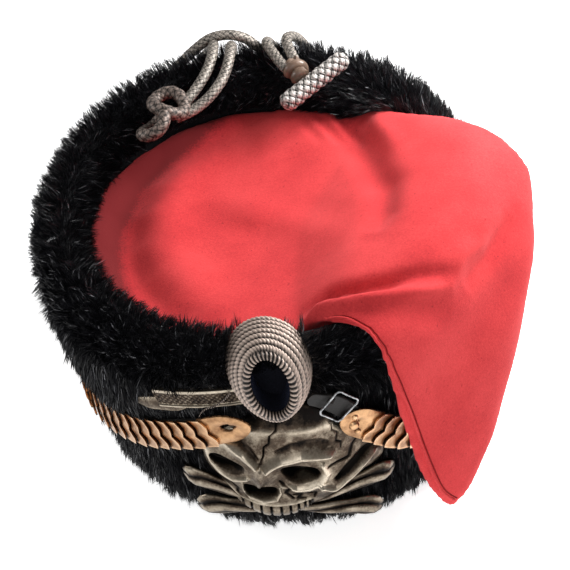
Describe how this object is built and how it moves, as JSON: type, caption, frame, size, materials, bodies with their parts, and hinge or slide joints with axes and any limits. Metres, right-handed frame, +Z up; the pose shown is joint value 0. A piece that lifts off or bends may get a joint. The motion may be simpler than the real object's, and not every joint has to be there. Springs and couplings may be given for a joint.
{
  "type": "hussar busby",
  "caption": "Tall oval fur cap, open below, with a cloth bag hanging over its right side, raised skull badge, plain scroll, corded field badge, chin scales and a doubled cap line",
  "frame": {"origin": "middle of the cap's outline as seen from above (without the loose cap line), on the surface that the rim rests on", "axes": "+Z up out of the crown, +Y towards the back of the head, so -Y is the front with the badges, +X towards the viewer's right, the side that the bag hangs on"},
  "size_m": [0.2652, 0.2654, 0.1672],
  "materials": {
    "fur": "deep, long, glossy black fur",
    "cloth": "matt felted wool",
    "leather": "worn, satin",
    "copper": "worn copper-coloured, satin",
    "silver": "tarnished silver over brass",
    "cord": "silver thread cord, tarnished",
    "velvet": "deep black velvet"
  },
  "bodies": {
    "root": {"fur_cap": "fur", "bag": "cloth", "skull_badge": "silver", "scroll_badge": "silver", "cockade_body": "cord", "cockade_lining": "velvet", "chin_strap_left": "leather", "chin_scale_left_01": "copper", "chin_scale_left_02": "copper", "chin_scale_left_03": "copper", "chin_scale_left_04": "copper", "chin_scale_left_05": "copper", "chin_scale_left_06": "copper", "chin_scale_left_07": "copper", "chin_scale_left_08": "copper", "chin_scale_left_09": "copper", "chin_scale_left_10": "copper", "chin_scale_left_11": "copper", "chin_scale_left_12": "copper", "chin_scale_left_13": "copper", "chin_scale_left_14": "copper", "chin_scale_left_15": "copper", "chin_scale_left_16": "copper", "chin_scale_left_17": "copper", "chin_scale_left_18": "copper", "end_plate_left": "copper", "side_boss_left": "copper", "chin_strap_right": "leather", "chin_scale_right_01": "copper", "chin_scale_right_02": "copper", "chin_scale_right_03": "copper", "chin_scale_right_04": "copper", "chin_scale_right_05": "copper", "chin_scale_right_06": "copper", "chin_scale_right_07": "copper", "chin_scale_right_08": "copper", "chin_scale_right_09": "copper", "chin_scale_right_10": "copper", "chin_scale_right_11": "copper", "chin_scale_right_12": "copper", "chin_scale_right_13": "copper", "chin_scale_right_14": "copper", "chin_scale_right_15": "copper", "chin_scale_right_16": "copper", "chin_scale_right_17": "copper", "chin_scale_right_18": "copper", "chin_scale_right_19": "copper", "end_plate_right": "copper", "side_boss_right": "copper", "plate_rivet": "copper", "buckle_frame": "silver", "buckle_tongue": "leather", "buckle_keeper": "silver", "wire_tie": "silver", "cap_line_first": "cord", "cap_line_second": "cord", "cap_line_third": "cord", "line_knot": "cord", "line_slider": "leather", "line_toggle": "cord"}
  },
  "joints": []
}
